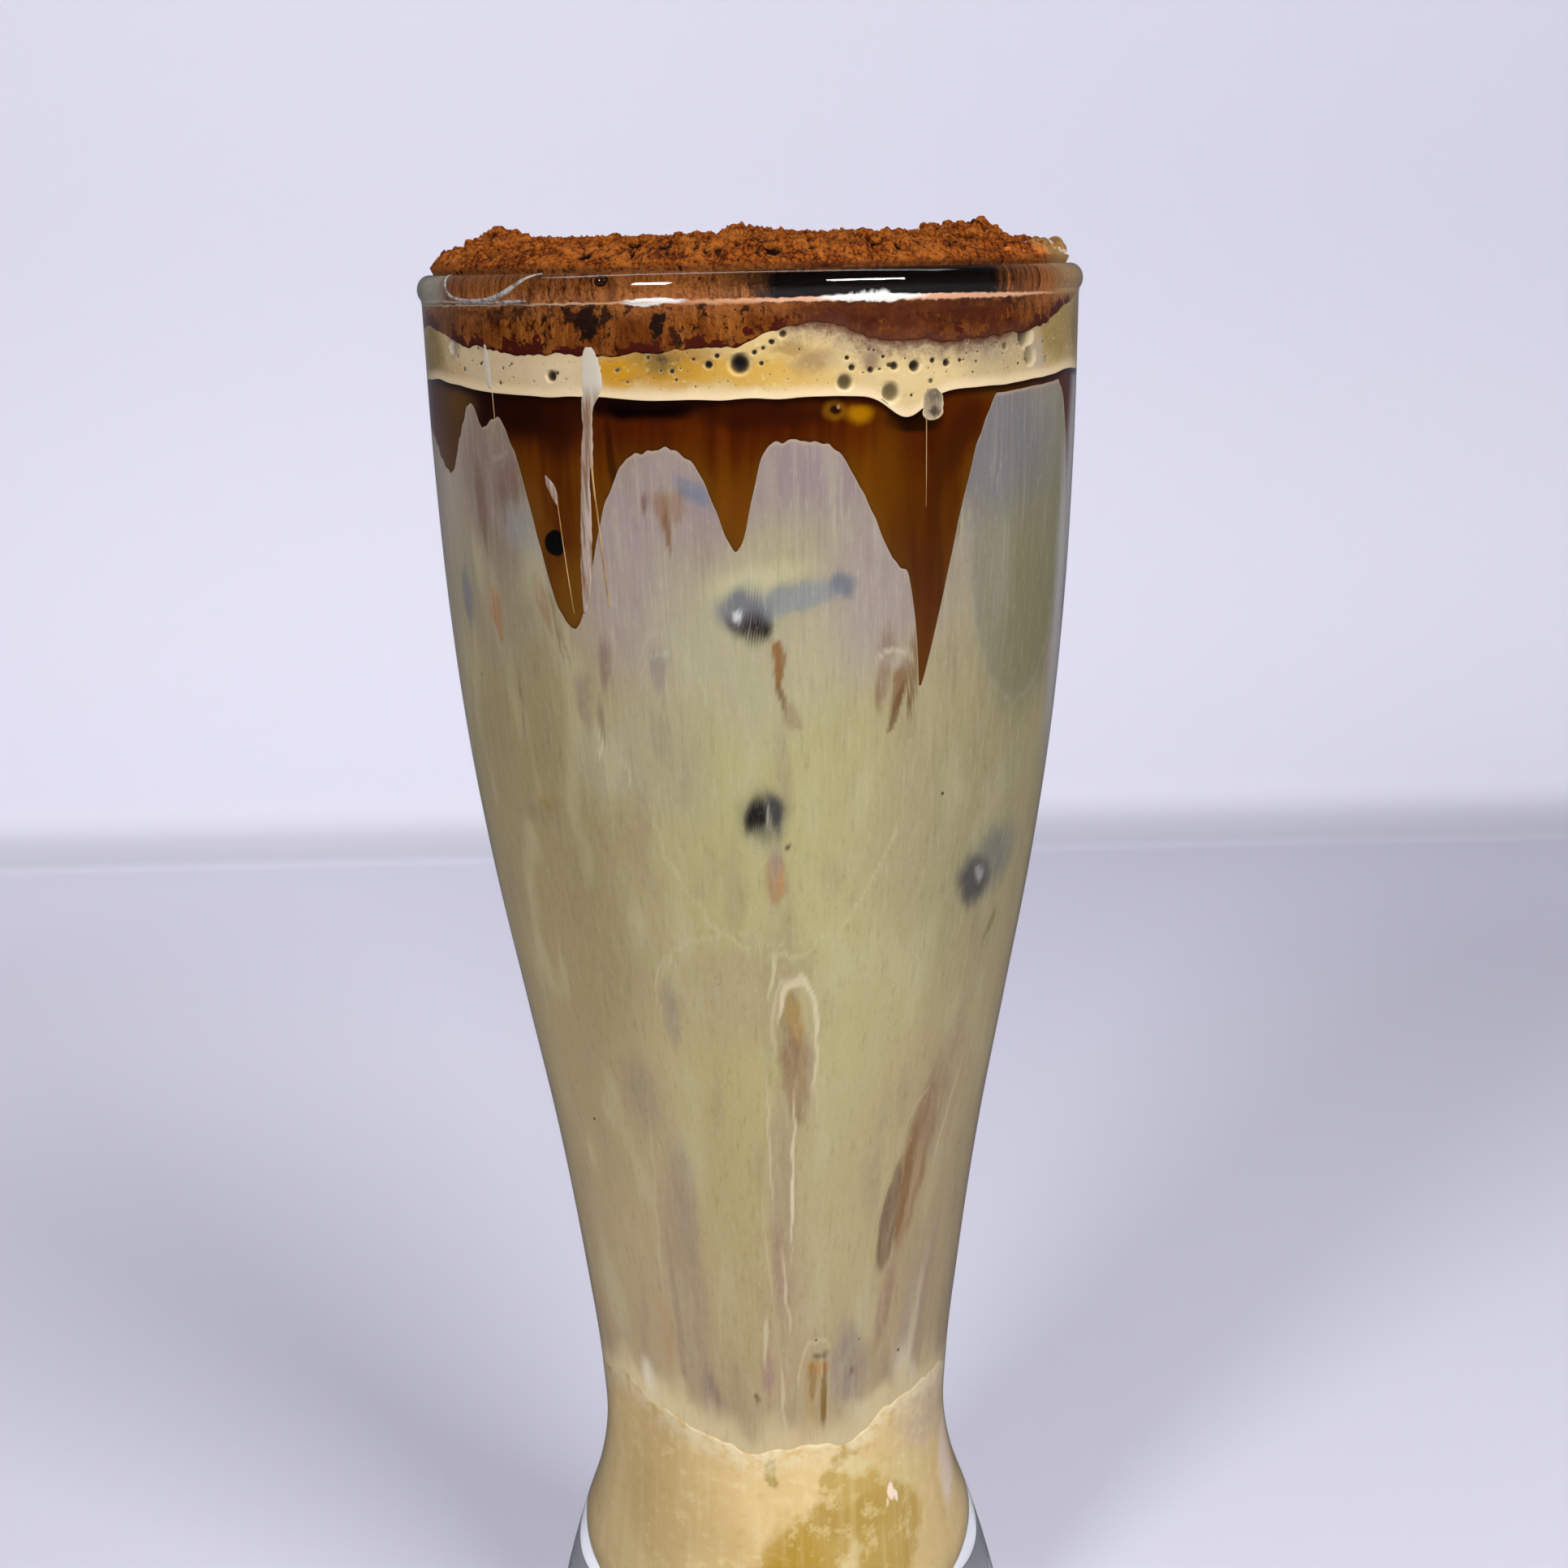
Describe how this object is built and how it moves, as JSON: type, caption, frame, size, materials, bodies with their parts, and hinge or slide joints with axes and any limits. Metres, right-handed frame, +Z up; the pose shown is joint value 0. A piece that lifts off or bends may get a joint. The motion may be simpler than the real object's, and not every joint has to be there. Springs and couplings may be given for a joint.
{
  "type": "vietnamese iced coffee",
  "caption": "Tall waisted glass filled to the brim with layered iced milk coffee, golden foam and a heap of cocoa powder.",
  "frame": {"origin": "centre of the glass's base, on the plane it stands on", "axes": "+Z up along the glass's axis, -Y towards the front of the drink, +X to the right"},
  "size_m": [0.078, 0.078, 0.1977],
  "materials": {
    "glass": "clear polished soda-lime glass",
    "condensed_milk": "thick ochre sweet milk",
    "milk_coffee": "cloudy pale milk coffee with fine vertical streaks",
    "black_coffee": "dark clear coffee, amber where it thins out",
    "crema_foam": "golden foam with fine bubbles",
    "cocoa_powder": "dry crumbly reddish brown powder"
  },
  "bodies": {
    "root": {"glass": "glass", "condensed_milk": "condensed_milk", "milk_coffee": "milk_coffee", "black_coffee": "black_coffee", "crema_foam": "crema_foam", "cocoa_powder": "cocoa_powder"}
  },
  "joints": []
}
